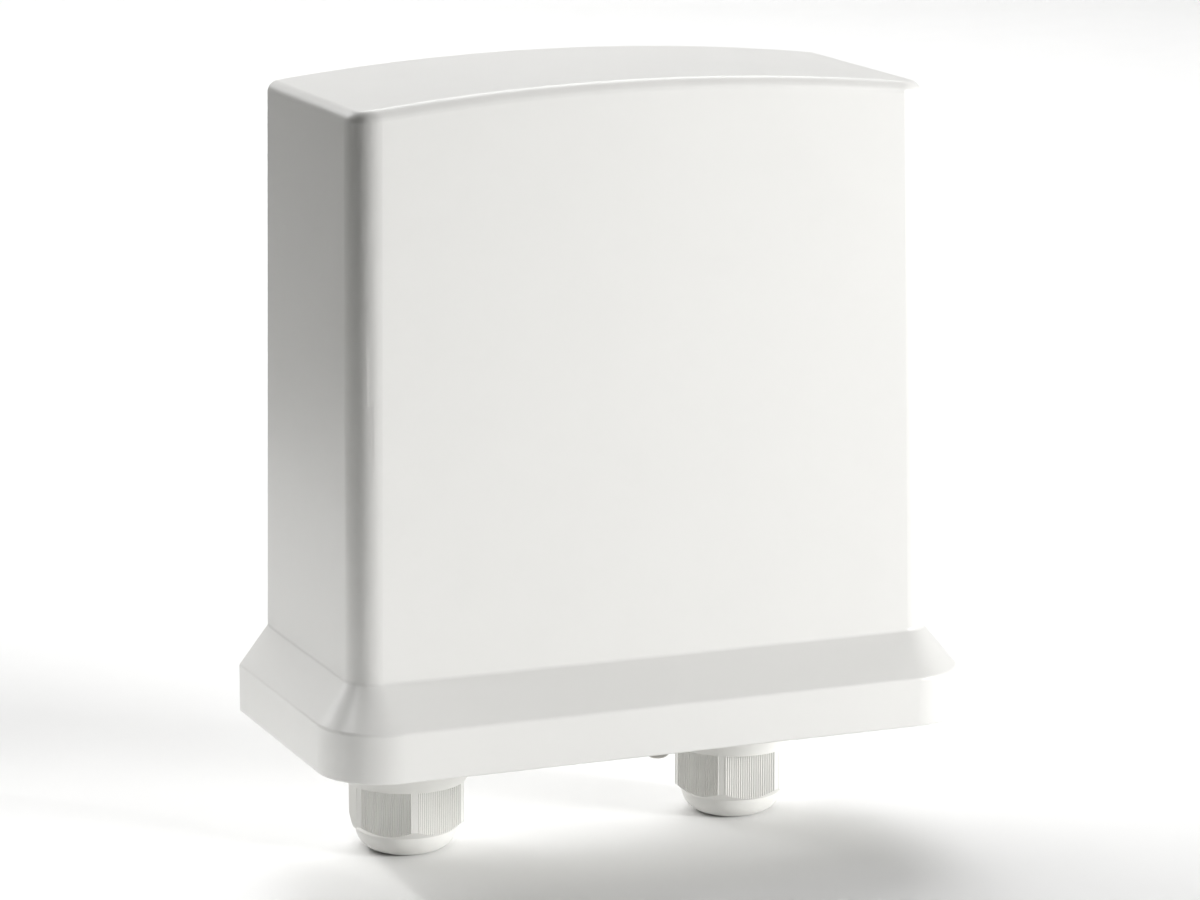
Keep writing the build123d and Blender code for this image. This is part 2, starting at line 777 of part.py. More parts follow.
with BuildPart() as fuse_caps:
    for start in (fuse_x - fuse_length / 2, fuse_x + fuse_length / 2 - fuse_cap_length):
        with BuildSketch(Plane.YZ.offset(start)):
            with Locations((fuse_y, fuse_z)):
                Circle(fuse_cap_radius)
        extrude(amount=fuse_cap_length)
fuse_caps.part.label = "fuse_caps"
export_step(fuse_caps.part, "parts/fuse_caps.step")

cover_inner_length = fuse_length + 2 * fuse_cover_gap
cover_inner_height = 2 * (fuse_cap_radius + clip_clearance + clip_wall + fuse_cover_gap)
with BuildPart() as fuse_cover:
    with BuildSketch(Plane.XZ.offset(-(board_face_y - fuse_cover_gap))):
        with Locations((fuse_x, fuse_z)):
            RectangleRounded(
                cover_inner_length + 2 * fuse_cover_wall,
                cover_inner_height + 2 * fuse_cover_wall,
                fuse_cover_corner_radius,
            )
    extrude(amount=fuse_cover_height)
    with BuildSketch(Plane.XZ.offset(-(board_face_y - fuse_cover_gap))):
        with Locations((fuse_x, fuse_z)):
            Rectangle(cover_inner_length, cover_inner_height)
    extrude(amount=fuse_cover_height - fuse_cover_wall, mode=Mode.SUBTRACT)
fuse_cover.part.label = "fuse_cover"
export_step(fuse_cover.part, "parts/fuse_cover.step")

with BuildPart() as surge_varistor:
    with BuildSketch(Plane.XZ.offset(-board_face_y)):
        with Locations((varistor_x, rim_z + varistor_level)):
            Circle(varistor_radius)
    extrude(amount=varistor_thickness)
    fillet(surge_varistor.faces().sort_by(Axis.Y)[0].edges(), varistor_edge_radius)
surge_varistor.part.label = "surge_varistor"
export_step(surge_varistor.part, "parts/surge_varistor.step")

# Winding leads, from the toroid's lower edge to the board's top
board_top_z = rim_z + board_bottom_level + board_height
lead_outer_x = lead_x + lead_spacing / 2
lead_top_z = toroid_z - (toroid_radius**2 - lead_outer_x**2) ** 0.5 + lead_embed
lead_turn_z = board_top_z - lead_board_inset
lead_start_y = toroid_front_y + lead_start_depth
for name, x in (("primary", -lead_x), ("secondary", lead_x)):
    with BuildPart() as leads:
        for offset_x in (-lead_spacing / 2, lead_spacing / 2):
            start = Vector(x + offset_x, lead_start_y, lead_top_z)
            turn = Vector(x + offset_x, lead_start_y, lead_turn_z)
            end = Vector(x + offset_x, board_face_y, lead_turn_z)
            with BuildLine() as route:
                FilletPolyline(start, turn, end, radius=lead_bend_radius)
            with BuildSketch(Plane(origin=end, z_dir=(0, 1, 0))):
                Circle(lead_radius)
            sweep(path=route.line)
        add(winding_blank, mode=Mode.SUBTRACT)
    leads.part.label = f"{name}_leads"
    export_step(leads.part, f"parts/{name}_leads.step")

earth_z = rim_z + earth_level
with BuildPart() as earth_stud:
    with BuildSketch(Plane.XZ.offset(-chassis_y)):
        with Locations((earth_x, earth_z)):
            Circle(earth_head_radius)
    extrude(amount=-earth_head_height)
    with BuildSketch(Plane.XZ.offset(-chassis_y)):
        with Locations((earth_x, earth_z)):
            Circle(earth_radius)
    extrude(amount=earth_length)
earth_stud.part.label = "earth_stud"
export_step(earth_stud.part, "parts/earth_stud.step")

with BuildPart() as earth_nut:
    with BuildSketch(Plane.XZ.offset(-chassis_face_y)):
        with Locations((earth_x, earth_z)):
            RegularPolygon(earth_nut_flats / 2, 6, major_radius=False)
            Circle(earth_radius + thread_fit, mode=Mode.SUBTRACT)
    extrude(amount=earth_nut_height)
earth_nut.part.label = "earth_nut"
export_step(earth_nut.part, "parts/earth_nut.step")
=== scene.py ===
"""Looks of the outdoor mains adapter box: finishes, fine detail, light and camera."""

import bpy
import bmesh
import json
import math
from mathutils import Matrix, Vector


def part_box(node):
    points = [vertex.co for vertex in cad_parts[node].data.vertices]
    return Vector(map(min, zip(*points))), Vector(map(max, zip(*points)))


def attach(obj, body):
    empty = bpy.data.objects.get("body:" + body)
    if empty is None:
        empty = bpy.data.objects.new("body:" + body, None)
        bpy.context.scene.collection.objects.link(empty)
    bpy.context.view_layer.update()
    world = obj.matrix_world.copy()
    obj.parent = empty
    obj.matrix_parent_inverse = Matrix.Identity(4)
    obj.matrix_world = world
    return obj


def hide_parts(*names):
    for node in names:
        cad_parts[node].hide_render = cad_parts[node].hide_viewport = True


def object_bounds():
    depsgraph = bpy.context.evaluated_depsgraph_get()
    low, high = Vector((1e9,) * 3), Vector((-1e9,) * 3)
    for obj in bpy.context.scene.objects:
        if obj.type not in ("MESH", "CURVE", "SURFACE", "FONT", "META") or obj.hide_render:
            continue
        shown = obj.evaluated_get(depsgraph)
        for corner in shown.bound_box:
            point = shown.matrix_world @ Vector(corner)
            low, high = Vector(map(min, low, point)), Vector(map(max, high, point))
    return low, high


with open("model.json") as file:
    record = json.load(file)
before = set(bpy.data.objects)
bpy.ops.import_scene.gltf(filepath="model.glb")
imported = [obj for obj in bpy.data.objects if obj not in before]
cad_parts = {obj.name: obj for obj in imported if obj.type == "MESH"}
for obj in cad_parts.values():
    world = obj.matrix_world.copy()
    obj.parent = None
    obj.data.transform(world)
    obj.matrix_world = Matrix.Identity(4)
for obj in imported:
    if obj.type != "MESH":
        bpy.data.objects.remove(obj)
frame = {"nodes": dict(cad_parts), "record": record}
cad_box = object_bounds()

MM = 0.001


# ---------------------------------------------------------------- shader node groups

def new_group(name, inputs, outputs):
    """Shader node group with its inner input and output nodes."""
    group = bpy.data.node_groups.new(name, "ShaderNodeTree")
    for label, kind, default in inputs:
        socket = group.interface.new_socket(label, in_out="INPUT", socket_type=kind)
        socket.default_value = default
    for label, kind in outputs:
        group.interface.new_socket(label, in_out="OUTPUT", socket_type=kind)
    return group, group.nodes.new("NodeGroupInput"), group.nodes.new("NodeGroupOutput")


def calculate(tree, operation, first, second=None, clamp=False):
    """Math node whose inputs are sockets or numbers; gives its result socket."""
    node = tree.nodes.new("ShaderNodeMath")
    node.operation = operation
    node.use_clamp = clamp
    for index, value in enumerate((first, second)):
        if isinstance(value, (int, float)):
            node.inputs[index].default_value = value
        elif value is not None:
            tree.links.new(value, node.inputs[index])
    return node.outputs[0]


def noise(tree, scale, detail=2.0, roughness=0.5, vector=None):
    """Noise texture on Object coordinates, or on a given vector."""
    node = tree.nodes.new("ShaderNodeTexNoise")
    node.inputs["Detail"].default_value = detail
    node.inputs["Roughness"].default_value = roughness
    if isinstance(scale, (int, float)):
        node.inputs["Scale"].default_value = scale
    else:
        tree.links.new(scale, node.inputs["Scale"])
    if vector is None:
        vector = tree.nodes.new("ShaderNodeTexCoord").outputs["Object"]
    tree.links.new(vector, node.inputs["Vector"])
    return node.outputs["Fac"]


def stretched(tree, scale):
    """Object coordinates stretched by a scale on each axis."""
    place = tree.nodes.new("ShaderNodeTexCoord")
    mapping = tree.nodes.new("ShaderNodeMapping")
    mapping.inputs["Scale"].default_value = scale
    tree.links.new(place.outputs["Object"], mapping.inputs["Vector"])
    return mapping.outputs["Vector"]


def tinted(tree, colour, value):
    """Colour socket scaled in brightness by a value socket."""
    shade = tree.nodes.new("ShaderNodeHueSaturation")
    tree.links.new(colour, shade.inputs["Color"])
    tree.links.new(value, shade.inputs["Value"])
    return shade.outputs["Color"]


def moulded_grain_group():
    """Spark-eroded mould texture with slow drifts of tone and gloss."""
    group, entry, result = new_group(
        "moulded_grain",
        [
            ("Colour", "NodeSocketColor", (0.8, 0.8, 0.8, 1.0)),
            ("Grain Scale", "NodeSocketFloat", 1600.0),
            ("Tone Drift", "NodeSocketFloat", 0.03),
            ("Roughness", "NodeSocketFloat", 0.4),
            ("Gloss Drift", "NodeSocketFloat", 0.08),
        ],
        [("Colour", "NodeSocketColor"), ("Roughness", "NodeSocketFloat"), ("Height", "NodeSocketFloat")],
    )
    grain = noise(group, entry.outputs["Grain Scale"], 3.0)
    drift = noise(group, 28.0, 4.0)
    centred = calculate(group, "SUBTRACT", drift, 0.5)
    change = calculate(group, "MULTIPLY", centred, entry.outputs["Tone Drift"])
    value = calculate(group, "ADD", change, 1.0)
    gloss = calculate(group, "MULTIPLY", centred, entry.outputs["Gloss Drift"])
    rough = calculate(group, "ADD", gloss, entry.outputs["Roughness"], clamp=True)
    group.links.new(tinted(group, entry.outputs["Colour"], value), result.inputs["Colour"])
    group.links.new(rough, result.inputs["Roughness"])
    group.links.new(grain, result.inputs["Height"])
    return group


def handling_group():
    """Faint dust and rubbed patches: darkens the colour and dulls the gloss a little."""
    group, entry, result = new_group(
        "handling_marks",
        [
            ("Colour", "NodeSocketColor", (0.8, 0.8, 0.8, 1.0)),
            ("Roughness", "NodeSocketFloat", 0.4),
            ("Amount", "NodeSocketFloat", 0.04),
            ("Patch Scale", "NodeSocketFloat", 60.0),
        ],
        [("Colour", "NodeSocketColor"), ("Roughness", "NodeSocketFloat")],
    )
    patch = noise(group, entry.outputs["Patch Scale"], 6.0, 0.65)
    mask = calculate(group, "MULTIPLY", calculate(group, "SUBTRACT", patch, 0.45), 3.0, clamp=True)
    loss = calculate(group, "MULTIPLY", mask, entry.outputs["Amount"])
    value = calculate(group, "SUBTRACT", 1.0, loss)
    rough = calculate(group, "ADD", entry.outputs["Roughness"], loss, clamp=True)
    group.links.new(tinted(group, entry.outputs["Colour"], value), result.inputs["Colour"])
    group.links.new(rough, result.inputs["Roughness"])
    return group


def metal_skin_group():
    """Drawn or plated metal: streaks along one axis and fine pitting."""
    group, entry, result = new_group(
        "metal_skin",
        [
            ("Colour", "NodeSocketColor", (0.7, 0.7, 0.7, 1.0)),
            ("Roughness", "NodeSocketFloat", 0.3),
            ("Streaks", "NodeSocketFloat", 0.1),
            ("Pit Scale", "NodeSocketFloat", 2500.0),
        ],
        [("Colour", "NodeSocketColor"), ("Roughness", "NodeSocketFloat"), ("Height", "NodeSocketFloat")],
    )
    streak = noise(group, 1.0, 3.0, 0.6, stretched(group, (1800.0, 1800.0, 120.0)))
    pits = noise(group, entry.outputs["Pit Scale"], 2.0)
    centred = calculate(group, "SUBTRACT", streak, 0.5)
    change = calculate(group, "MULTIPLY", centred, entry.outputs["Streaks"])
    value = calculate(group, "ADD", change, 1.0)
    rough = calculate(group, "ADD", entry.outputs["Roughness"], change, clamp=True)
    height = calculate(group, "ADD", streak, calculate(group, "MULTIPLY", pits, 0.5))
    group.links.new(tinted(group, entry.outputs["Colour"], value), result.inputs["Colour"])
    group.links.new(rough, result.inputs["Roughness"])
    group.links.new(height, result.inputs["Height"])
    return group


GRAIN = moulded_grain_group()
HANDLING = handling_group()
METAL_SKIN = metal_skin_group()
METAL_PIT_DEPTH = 0.002 * MM


# ---------------------------------------------------------------- materials

def principled(name):
    """New node material, its tree and its Principled shader."""
    material = bpy.data.materials.new(name)
    material.use_nodes = True
    return material, material.node_tree, material.node_tree.nodes["Principled BSDF"]


def placed(tree, group, **values):
    """Group node with its own values; colours get their alpha here."""
    node = tree.nodes.new("ShaderNodeGroup")
    node.node_tree = group
    for label, value in values.items():
        socket = node.inputs[label.replace("_", " ")]
        socket.default_value = (*value, 1.0) if isinstance(value, tuple) else value
    return node


def bumped(tree, shader, height, depth, strength=1.0):
    """Bump from a height socket, depth in metres, into the shader's normal."""
    bump = tree.nodes.new("ShaderNodeBump")
    bump.inputs["Strength"].default_value = strength
    bump.inputs["Distance"].default_value = depth
    tree.links.new(height, bump.inputs["Height"])
    tree.links.new(bump.outputs["Normal"], shader.inputs["Normal"])


def moulded_plastic(name, colour, roughness, grain_scale, grain_depth, drift, dust, specular=0.5):
    """Moulded plastic: mould grain of a depth in millimetres, then faint handling marks."""
    material, tree, shader = principled(name)
    grain = placed(
        tree, GRAIN, Colour=colour, Grain_Scale=grain_scale, Tone_Drift=drift, Roughness=roughness
    )
    marks = placed(tree, HANDLING, Amount=dust)
    tree.links.new(grain.outputs["Colour"], marks.inputs["Colour"])
    tree.links.new(grain.outputs["Roughness"], marks.inputs["Roughness"])
    tree.links.new(marks.outputs["Colour"], shader.inputs["Base Color"])
    tree.links.new(marks.outputs["Roughness"], shader.inputs["Roughness"])
    bumped(tree, shader, grain.outputs["Height"], grain_depth * MM)
    shader.inputs["Specular IOR Level"].default_value = specular
    return material


def plated_metal(name, colour, roughness, streaks):
    """Metal with streaks and fine pits."""
    material, tree, shader = principled(name)
    skin = placed(tree, METAL_SKIN, Colour=colour, Roughness=roughness, Streaks=streaks)
    tree.links.new(skin.outputs["Colour"], shader.inputs["Base Color"])
    tree.links.new(skin.outputs["Roughness"], shader.inputs["Roughness"])
    bumped(tree, shader, skin.outputs["Height"], METAL_PIT_DEPTH)
    shader.inputs["Metallic"].default_value = 1.0
    return material


def galvanised_sheet():
    """Zinc-coated sheet with crystal flakes of different tone."""
    material, tree, shader = principled("galvanised_steel")
    flakes = tree.nodes.new("ShaderNodeTexVoronoi")
    flakes.inputs["Scale"].default_value = 260.0
    flakes.inputs["Randomness"].default_value = 1.0
    place = tree.nodes.new("ShaderNodeTexCoord")
    tree.links.new(place.outputs["Object"], flakes.inputs["Vector"])
    grey = tree.nodes.new("ShaderNodeRGBToBW")
    tree.links.new(flakes.outputs["Color"], grey.inputs["Color"])
    ramp = tree.nodes.new("ShaderNodeValToRGB")
    ramp.color_ramp.elements[0].color = (0.44, 0.45, 0.47, 1.0)
    ramp.color_ramp.elements[1].color = (0.72, 0.73, 0.74, 1.0)
    tree.links.new(grey.outputs["Val"], ramp.inputs["Fac"])
    tree.links.new(ramp.outputs["Color"], shader.inputs["Base Color"])
    rough = calculate(tree, "ADD", calculate(tree, "MULTIPLY", grey.outputs["Val"], 0.25), 0.3)
    tree.links.new(rough, shader.inputs["Roughness"])
    bumped(tree, shader, noise(tree, 2600.0, 3.0), 0.003 * MM)
    shader.inputs["Metallic"].default_value = 1.0
    return material


def tape_film():
    """Polyester tape: glossy film with wrinkles and slightly darker overlaps."""
    material, tree, shader = principled("winding_tape")
    wrinkle = noise(tree, 190.0, 5.0, 0.6)
    fine = noise(tree, 900.0, 3.0)
    ramp = tree.nodes.new("ShaderNodeValToRGB")
    ramp.color_ramp.elements[0].position = 0.3
    ramp.color_ramp.elements[0].color = (0.62, 0.40, 0.04, 1.0)
    ramp.color_ramp.elements[1].position = 0.7
    ramp.color_ramp.elements[1].color = (0.86, 0.66, 0.14, 1.0)
    tree.links.new(wrinkle, ramp.inputs["Fac"])
    tree.links.new(ramp.outputs["Color"], shader.inputs["Base Color"])
    rough = calculate(tree, "ADD", calculate(tree, "MULTIPLY", fine, 0.2), 0.18)
    tree.links.new(rough, shader.inputs["Roughness"])
    height = calculate(tree, "ADD", wrinkle, calculate(tree, "MULTIPLY", fine, 0.2))
    bumped(tree, shader, height, 0.25 * MM, 0.6)
    shader.inputs["Coat Weight"].default_value = 0.4
    return material


def glass_fibre_board():
    """Green laminate: solder resist over a faint glass weave."""
    material, tree, shader = principled("board_laminate")
    weave = []
    for direction in ("X", "Z"):
        wave = tree.nodes.new("ShaderNodeTexWave")
        wave.bands_direction = direction
        wave.inputs["Scale"].default_value = 420.0
        wave.inputs["Distortion"].default_value = 1.5
        place = tree.nodes.new("ShaderNodeTexCoord")
        tree.links.new(place.outputs["Object"], wave.inputs["Vector"])
        weave.append(wave.outputs["Fac"])
    cloth = calculate(tree, "MULTIPLY", weave[0], weave[1])
    blotch = noise(tree, 120.0, 4.0)
    mixed = calculate(tree, "ADD", calculate(tree, "MULTIPLY", cloth, 0.35), blotch)
    ramp = tree.nodes.new("ShaderNodeValToRGB")
    ramp.color_ramp.elements[0].position = 0.3
    ramp.color_ramp.elements[0].color = (0.015, 0.085, 0.035, 1.0)
    ramp.color_ramp.elements[1].position = 0.95
    ramp.color_ramp.elements[1].color = (0.05, 0.20, 0.085, 1.0)
    tree.links.new(mixed, ramp.inputs["Fac"])
    tree.links.new(ramp.outputs["Color"], shader.inputs["Base Color"])
    rough = calculate(tree, "ADD", calculate(tree, "MULTIPLY", blotch, 0.15), 0.22)
    tree.links.new(rough, shader.inputs["Roughness"])
    bumped(tree, shader, cloth, 0.01 * MM, 0.5)
    return material


def clear_moulding(name, tint, roughness, ior):
    """Clear glass or polycarbonate with faint smears."""
    material, tree, shader = principled(name)
    smear = noise(tree, 240.0, 4.0)
    value = calculate(tree, "ADD", calculate(tree, "MULTIPLY", smear, 0.06), 0.96)
    base = tree.nodes.new("ShaderNodeRGB")
    base.outputs[0].default_value = (*tint, 1.0)
    tree.links.new(tinted(tree, base.outputs[0], value), shader.inputs["Base Color"])
    rough = calculate(tree, "ADD", calculate(tree, "MULTIPLY", smear, 0.08), roughness)
    tree.links.new(rough, shader.inputs["Roughness"])
    shader.inputs["Transmission Weight"].default_value = 1.0
    shader.inputs["IOR"].default_value = ior
    bumped(tree, shader, smear, 0.01 * MM, 0.3)
    return material


def silicone_sleeve():
    """Lead insulation: soft silicone of a slightly mottled colour."""
    material, tree, shader = principled("lead_insulation")
    mottle = noise(tree, 700.0, 4.0)
    ramp = tree.nodes.new("ShaderNodeValToRGB")
    ramp.color_ramp.elements[0].color = (0.42, 0.045, 0.03, 1.0)
    ramp.color_ramp.elements[1].color = (0.62, 0.085, 0.055, 1.0)
    tree.links.new(mottle, ramp.inputs["Fac"])
    tree.links.new(ramp.outputs["Color"], shader.inputs["Base Color"])
    rough = calculate(tree, "ADD", calculate(tree, "MULTIPLY", mottle, 0.2), 0.4)
    tree.links.new(rough, shader.inputs["Roughness"])
    bumped(tree, shader, noise(tree, 3000.0), 0.01 * MM, 0.5)
    return material


# Name: colour, roughness, grain scale, grain depth in mm, tone drift, dust
PLASTICS = {
    "cover_plastic": ((0.865, 0.86, 0.835), 0.32, 2200.0, 0.0022, 0.012, 0.012),
    "housing_plastic": ((0.79, 0.785, 0.755), 0.5, 1500.0, 0.006, 0.03, 0.05),
    "gland_nylon": ((0.87, 0.865, 0.835), 0.4, 1900.0, 0.003, 0.02, 0.02),
    "seal_rubber": ((0.022, 0.022, 0.024), 0.72, 1400.0, 0.015, 0.2, 0.3, 0.35),
    "screw_seal": ((0.66, 0.65, 0.60), 0.5, 1800.0, 0.004, 0.05, 0.05),
    "terminal_green": ((0.045, 0.22, 0.07), 0.45, 1500.0, 0.006, 0.08, 0.06),
    "varistor_blue": ((0.03, 0.10, 0.36), 0.25, 420.0, 0.05, 0.12, 0.05),
}

# Name: colour, roughness, streaks
METALS = {
    "stainless_screw": ((0.62, 0.60, 0.57), 0.2, 0.16),
    "brass": ((0.72, 0.50, 0.18), 0.26, 0.2),
    "zinc_screw": ((0.66, 0.66, 0.62), 0.3, 0.2),
    "core_steel": ((0.22, 0.22, 0.24), 0.45, 0.3),
    "tinned_metal": ((0.74, 0.74, 0.72), 0.28, 0.1),
}

# Name: tint, roughness, index of refraction
CLEAR_PLASTICS = {
    "fuse_glass": ((0.93, 0.97, 0.96), 0.02, 1.5),
    "clear_cover": ((0.95, 0.96, 0.95), 0.06, 1.58),
}

FINISH = {
    "galvanised_steel": galvanised_sheet(),
    "winding_tape": tape_film(),
    "board_laminate": glass_fibre_board(),
    "lead_insulation": silicone_sleeve(),
}
FINISH.update({name: moulded_plastic(name, *values) for name, values in PLASTICS.items()})
FINISH.update({name: plated_metal(name, *values) for name, values in METALS.items()})
FINISH.update({name: clear_moulding(name, *values) for name, values in CLEAR_PLASTICS.items()})

for entry in frame["record"]["subparts"]:
    for material_slot in frame["nodes"][entry["node"]].material_slots:
        material_slot.material = FINISH[entry["material_slot"]]


# ---------------------------------------------------------------- geometry node helpers

def node_tree(name, inputs):
    """Geometry node tree with named inputs; gives the tree, its input node and its output node."""
    tree = bpy.data.node_groups.new(name, "GeometryNodeTree")
    tree.interface.new_socket("Geometry", in_out="OUTPUT", socket_type="NodeSocketGeometry")
    for label, kind, default in inputs:
        socket = tree.interface.new_socket(label, in_out="INPUT", socket_type=kind)
        if default is not None:
            socket.default_value = default
    return tree, tree.nodes.new("NodeGroupInput"), tree.nodes.new("NodeGroupOutput")


def finish_tree(tree, entry, result, geometry):
    """Realize the instances and set the material from the tree's Material input."""
    realize = tree.nodes.new("GeometryNodeRealizeInstances")
    paint = tree.nodes.new("GeometryNodeSetMaterial")
    tree.links.new(geometry, realize.inputs[0])
    tree.links.new(realize.outputs[0], paint.inputs["Geometry"])
    tree.links.new(entry.outputs["Material"], paint.inputs["Material"])
    tree.links.new(paint.outputs[0], result.inputs["Geometry"])


def grown(name, tree, material, place, values):
    """Bake a geometry node tree into one plain mesh object, then move its mesh to its place."""
    holder = bpy.data.objects.new(name + "_holder", bpy.data.meshes.new(name + "_holder"))
    bpy.context.scene.collection.objects.link(holder)
    modifier = holder.modifiers.new("shape", "NODES")
    modifier.node_group = tree
    for item in tree.interface.items_tree:
        if item.in_out != "INPUT":
            continue
        if item.name == "Material":
            modifier[item.identifier] = material
        elif item.name in values:
            modifier[item.identifier] = values[item.name]
    graph = bpy.context.evaluated_depsgraph_get()
    mesh = bpy.data.meshes.new_from_object(holder.evaluated_get(graph), depsgraph=graph)
    bpy.data.objects.remove(holder)
    mesh.name = name
    mesh.transform(place)
    piece = bpy.data.objects.new(name, mesh)
    bpy.context.scene.collection.objects.link(piece)
    return piece


def axis_chain(tree, *sockets):
    """Combine three sockets or numbers into a vector socket."""
    node = tree.nodes.new("ShaderNodeCombineXYZ")
    for index, value in enumerate(sockets):
        if isinstance(value, (int, float)):
            node.inputs[index].default_value = value
        else:
            tree.links.new(value, node.inputs[index])
    return node.outputs[0]


# ---------------------------------------------------------------- ribs on the gland nuts

RIB_TAPER = 0.35
RIB_ROUNDING = 0.7


def grip_rib_tree():
    """Rows of fine ribs on the six flats of a gland nut, each ending on the nut's lower bevel."""
    tree, entry, result = node_tree(
        "grip_ribs",
        [
            ("Ribs per Flat", "NodeSocketInt", 23),
            ("Pitch", "NodeSocketFloat", 0.0006),
            ("Rib Width", "NodeSocketFloat", 0.0004),
            ("Rib Height", "NodeSocketFloat", 0.0002),
            ("Flat Radius", "NodeSocketFloat", 0.0132),
            ("Bevel Radius", "NodeSocketFloat", 0.0127),
            ("Bevel Slope", "NodeSocketFloat", 1.0),
            ("Grip Length", "NodeSocketFloat", 0.0122),
            ("Material", "NodeSocketMaterial", None),
        ],
    )
    value = entry.outputs
    gaps = calculate(tree, "SUBTRACT", value["Ribs per Flat"], 1.0)
    first = calculate(tree, "MULTIPLY", gaps, value["Pitch"])
    start_x = calculate(tree, "MULTIPLY", first, -0.5)
    line = tree.nodes.new("GeometryNodeMeshLine")
    tree.links.new(value["Ribs per Flat"], line.inputs["Count"])
    start_y = calculate(tree, "MULTIPLY", value["Flat Radius"], -1.0)
    tree.links.new(axis_chain(tree, start_x, start_y, 0.0), line.inputs["Start Location"])
    tree.links.new(axis_chain(tree, value["Pitch"], 0.0, 0.0), line.inputs["Offset"])
    position = tree.nodes.new("GeometryNodeInputPosition")
    split = tree.nodes.new("ShaderNodeSeparateXYZ")
    tree.links.new(position.outputs[0], split.inputs[0])
    across = calculate(tree, "MULTIPLY", split.outputs[0], split.outputs[0])
    outward = calculate(tree, "MULTIPLY", value["Flat Radius"], value["Flat Radius"])
    square = calculate(tree, "ADD", across, outward)
    spread = calculate(tree, "SUBTRACT", calculate(tree, "SQRT", square), value["Bevel Radius"])
    bevel_loss = calculate(tree, "MULTIPLY", spread, value["Bevel Slope"])
    length = calculate(tree, "SUBTRACT", value["Grip Length"], bevel_loss)
    bar = tree.nodes.new("GeometryNodeMeshCube")
    bar.inputs["Size"].default_value = (1.0, 2.0, 1.0)
    bar.inputs["Vertices X"].default_value = 3
    shape = tree.nodes.new("GeometryNodeSetPosition")
    tree.links.new(bar.outputs["Mesh"], shape.inputs["Geometry"])
    corner = tree.nodes.new("ShaderNodeSeparateXYZ")
    tree.links.new(tree.nodes.new("GeometryNodeInputPosition").outputs[0], corner.inputs[0])
    outside = calculate(tree, "LESS_THAN", corner.outputs[1], 0.0)
    edge = calculate(tree, "MULTIPLY", calculate(tree, "ABSOLUTE", corner.outputs[0]), outside)
    outer_x = calculate(tree, "MULTIPLY", corner.outputs[0], outside)
    narrow = calculate(tree, "MULTIPLY", outer_x, -RIB_TAPER)
    lean = calculate(tree, "MULTIPLY", edge, RIB_ROUNDING)
    tree.links.new(axis_chain(tree, narrow, lean, -0.5), shape.inputs["Offset"])
    ribs = tree.nodes.new("GeometryNodeInstanceOnPoints")
    tree.links.new(line.outputs[0], ribs.inputs["Points"])
    tree.links.new(shape.outputs[0], ribs.inputs["Instance"])
    rib_size = axis_chain(tree, value["Rib Width"], value["Rib Height"], length)
    tree.links.new(rib_size, ribs.inputs["Scale"])
    row = tree.nodes.new("GeometryNodeRealizeInstances")
    tree.links.new(ribs.outputs[0], row.inputs[0])
    flats = tree.nodes.new("GeometryNodeMeshLine")
    flats.inputs["Count"].default_value = 6
    flats.inputs["Offset"].default_value = (0.0, 0.0, 0.0)
    index = tree.nodes.new("GeometryNodeInputIndex")
    turn = calculate(tree, "MULTIPLY", index.outputs[0], math.pi / 3)
    round_nut = tree.nodes.new("GeometryNodeInstanceOnPoints")
    tree.links.new(flats.outputs[0], round_nut.inputs["Points"])
    tree.links.new(row.outputs[0], round_nut.inputs["Instance"])
    tree.links.new(axis_chain(tree, 0.0, 0.0, turn), round_nut.inputs["Rotation"])
    finish_tree(tree, entry, result, round_nut.outputs[0])
    return tree


def thread_tree():
    """Helical ridge of a screw thread, hanging down from zero."""
    tree, entry, result = node_tree(
        "screw_thread",
        [
            ("Turns", "NodeSocketFloat", 6.0),
            ("Root Radius", "NodeSocketFloat", 0.0105),
            ("Ridge", "NodeSocketFloat", 0.0002),
            ("Pitch", "NodeSocketFloat", 0.0015),
            ("Steps per Turn", "NodeSocketInt", 40),
            ("Material", "NodeSocketMaterial", None),
        ],
    )
    value = entry.outputs
    spiral = tree.nodes.new("GeometryNodeCurveSpiral")
    tree.links.new(value["Steps per Turn"], spiral.inputs["Resolution"])
    tree.links.new(value["Turns"], spiral.inputs["Rotations"])
    tree.links.new(value["Root Radius"], spiral.inputs["Start Radius"])
    tree.links.new(value["Root Radius"], spiral.inputs["End Radius"])
    tree.links.new(calculate(tree, "MULTIPLY", value["Turns"], value["Pitch"]), spiral.inputs["Height"])
    profile = tree.nodes.new("GeometryNodeCurvePrimitiveCircle")
    profile.inputs["Resolution"].default_value = 6
    tree.links.new(value["Ridge"], profile.inputs["Radius"])
    sweep = tree.nodes.new("GeometryNodeCurveToMesh")
    tree.links.new(spiral.outputs[0], sweep.inputs["Curve"])
    tree.links.new(profile.outputs[0], sweep.inputs["Profile Curve"])
    sweep.inputs["Fill Caps"].default_value = True
    finish_tree(tree, entry, result, sweep.outputs[0])
    return tree


GRIP_RIBS = grip_rib_tree()
THREAD = thread_tree()

NUT_RIM_HEIGHT = 3.3 * MM
NUT_GRIP = 12.25 * MM
NUT_BEVEL = 2.1 * MM
NUT_FLAT_RADIUS = 13.2 * MM
NUT_BEVEL_RADIUS = 12.7 * MM
NUT_CORNER_RADIUS = 14.85 * MM
NUT_ANGLE = {"left": 11.1, "right": 32.8}
HALF_FLAT_ANGLE = 30.0
NECK_THREAD_FOOT = 7.4 * MM
SCREW_THREAD_FOOT = 3.4 * MM

